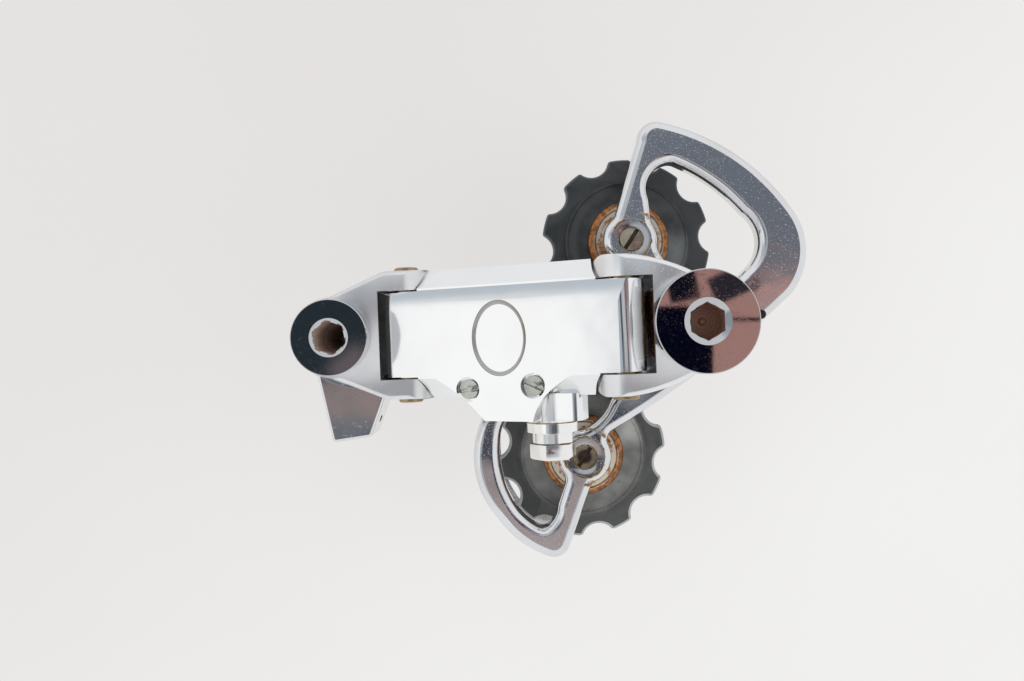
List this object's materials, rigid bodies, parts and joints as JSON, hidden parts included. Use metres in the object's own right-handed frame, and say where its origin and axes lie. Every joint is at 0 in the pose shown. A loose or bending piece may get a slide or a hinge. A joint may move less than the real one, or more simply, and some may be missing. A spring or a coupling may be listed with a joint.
{
  "type": "rear bicycle derailleur",
  "caption": "Parallelogram rear derailleur with forged alloy knuckles and links, a looped plate cage and toothed guide wheels, which moves the chain across the rear sprockets.",
  "frame": {"origin": "on the hanger bolt's axis, at the face that seats on the frame's hanger", "axes": "+X from the hanger bolt towards the cage pivot, +Y along the link pins, +Z out from the wheel"},
  "size_m": [0.1097, 0.0949, 0.052],
  "materials": {
    "polished_alloy": "polished",
    "chromed_steel": "polished",
    "pin_steel": "satin",
    "plated_screw": "satin",
    "pulley_plastic": "matte",
    "cap_steel": "satin, rusted at the rim",
    "bush_steel": "turned",
    "spring_steel": "satin",
    "blackened_steel": "blackened"
  },
  "bodies": {
    "upper_knuckle": {"b_knuckle": "polished_alloy", "b_outer_pin": "pin_steel", "b_inner_pin": "pin_steel", "return_spring": "spring_steel"},
    "hanger_bolt_set": {"hanger_bolt": "chromed_steel", "hanger_clip": "spring_steel"},
    "outer_link_set": {"outer_link": "polished_alloy", "high_limit_screw": "plated_screw", "low_limit_screw": "plated_screw", "cable_anchor_bolt": "plated_screw", "cable_anchor_washer": "plated_screw"},
    "inner_link_set": {"inner_link": "polished_alloy"},
    "lower_knuckle": {"p_knuckle": "polished_alloy", "p_outer_pin": "pin_steel", "p_inner_pin": "pin_steel", "cage_spring": "spring_steel"},
    "cage": {"pivot_bolt": "chromed_steel", "outer_cage_plate": "polished_alloy", "inner_cage_plate": "polished_alloy", "cage_stop_pin": "blackened_steel", "upper_pulley_bush": "bush_steel", "lower_pulley_bush": "bush_steel", "upper_pulley_outer_cap": "cap_steel", "upper_pulley_inner_cap": "cap_steel", "lower_pulley_outer_cap": "cap_steel", "lower_pulley_inner_cap": "cap_steel", "upper_pulley_bolt": "plated_screw", "lower_pulley_bolt": "plated_screw"},
    "upper_wheel": {"upper_pulley": "pulley_plastic"},
    "lower_wheel": {"lower_pulley": "pulley_plastic"}
  },
  "joints": [
    {"name": "hanger_pivot", "type": "hinge", "parent": "upper_knuckle", "child": "hanger_bolt_set", "pos_m": [0, 0, 0], "axis": [0, 0, 1], "continuous": true},
    {"name": "link_swing", "type": "hinge", "parent": "upper_knuckle", "child": "outer_link_set", "pos_m": [0.0146, 0, 0.0152], "axis": [0, 1, 0], "range_deg": [0, 41], "stiffness_Nm_per_rad": 0.6, "springref_deg": -57.3, "deforming": ["return_spring"]},
    {"name": "inner_link_swing", "type": "hinge", "parent": "upper_knuckle", "child": "inner_link_set", "pos_m": [0.0156, 0, 0.0068], "axis": [0, 1, 0], "range_deg": [0, 41]},
    {"name": "lower_knuckle_swing", "type": "hinge", "parent": "outer_link_set", "child": "lower_knuckle", "pos_m": [0.05707, 0, 0.03066], "axis": [0, 1, 0], "range_deg": [-41, 0]},
    {"name": "cage_swing", "type": "hinge", "parent": "lower_knuckle", "child": "cage", "pos_m": [0.07037, 0, 0.0075], "axis": [0, 0, 1], "range_deg": [0, 90], "stiffness_Nm_per_rad": 0.2, "springref_deg": -68.75, "deforming": ["cage_spring"]},
    {"name": "upper_pulley_spin", "type": "hinge", "parent": "cage", "child": "upper_wheel", "pos_m": [0.0629, 0.0191, -0.0017], "axis": [0, 0, 1], "continuous": true},
    {"name": "lower_pulley_spin", "type": "hinge", "parent": "cage", "child": "lower_wheel", "pos_m": [0.0509, -0.0281, -0.0017], "axis": [0, 0, 1], "continuous": true}
  ],
  "couplings": [
    {"joint": "inner_link_swing", "follows": "link_swing", "ratio": 1},
    {"joint": "lower_knuckle_swing", "follows": "link_swing", "ratio": -1}
  ]
}
